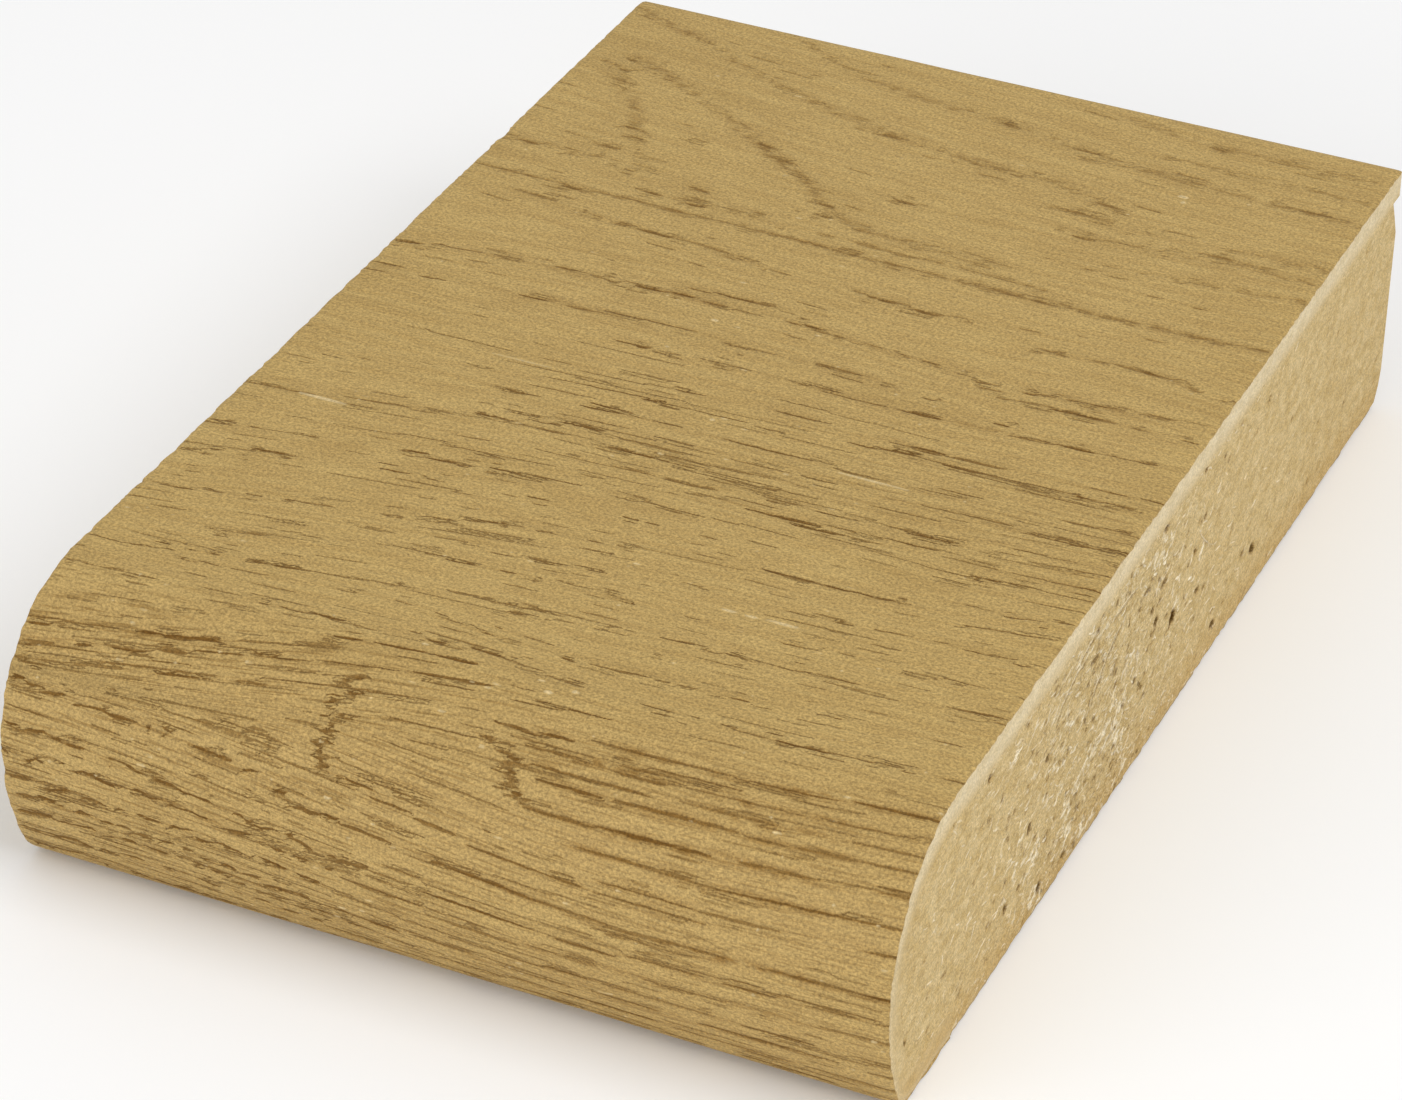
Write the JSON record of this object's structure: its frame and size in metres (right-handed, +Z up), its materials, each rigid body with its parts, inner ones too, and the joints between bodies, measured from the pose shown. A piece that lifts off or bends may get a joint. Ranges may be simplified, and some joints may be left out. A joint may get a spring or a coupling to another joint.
{
  "type": "threshold strip",
  "caption": "Short cut length of a bull-nosed threshold strip: fibreboard core, wrapped pale base sheet, embossed oak decor film turned under the nose, balancing sheet beneath.",
  "frame": {"origin": "centre of the footprint, on the plane of the underside", "axes": "+X along the strip and its grain, -Y towards the rounded nose, +Y towards the square rear edge, +Z up through the decor face"},
  "size_m": [0.056, 0.088, 0.018],
  "materials": {
    "decor_film": "printed oak decor under a matt wear film, embossed with the pores",
    "base_sheet": "pale through-coloured sheet, cut edge",
    "core_board": "fibreboard, raw and saw-cut, with small pits",
    "backing_sheet": "resin-soaked balancing paper"
  },
  "bodies": {
    "root": {"core_board": "core_board", "base_sheet": "base_sheet", "decor_film": "decor_film", "backing_sheet": "backing_sheet"}
  },
  "joints": []
}
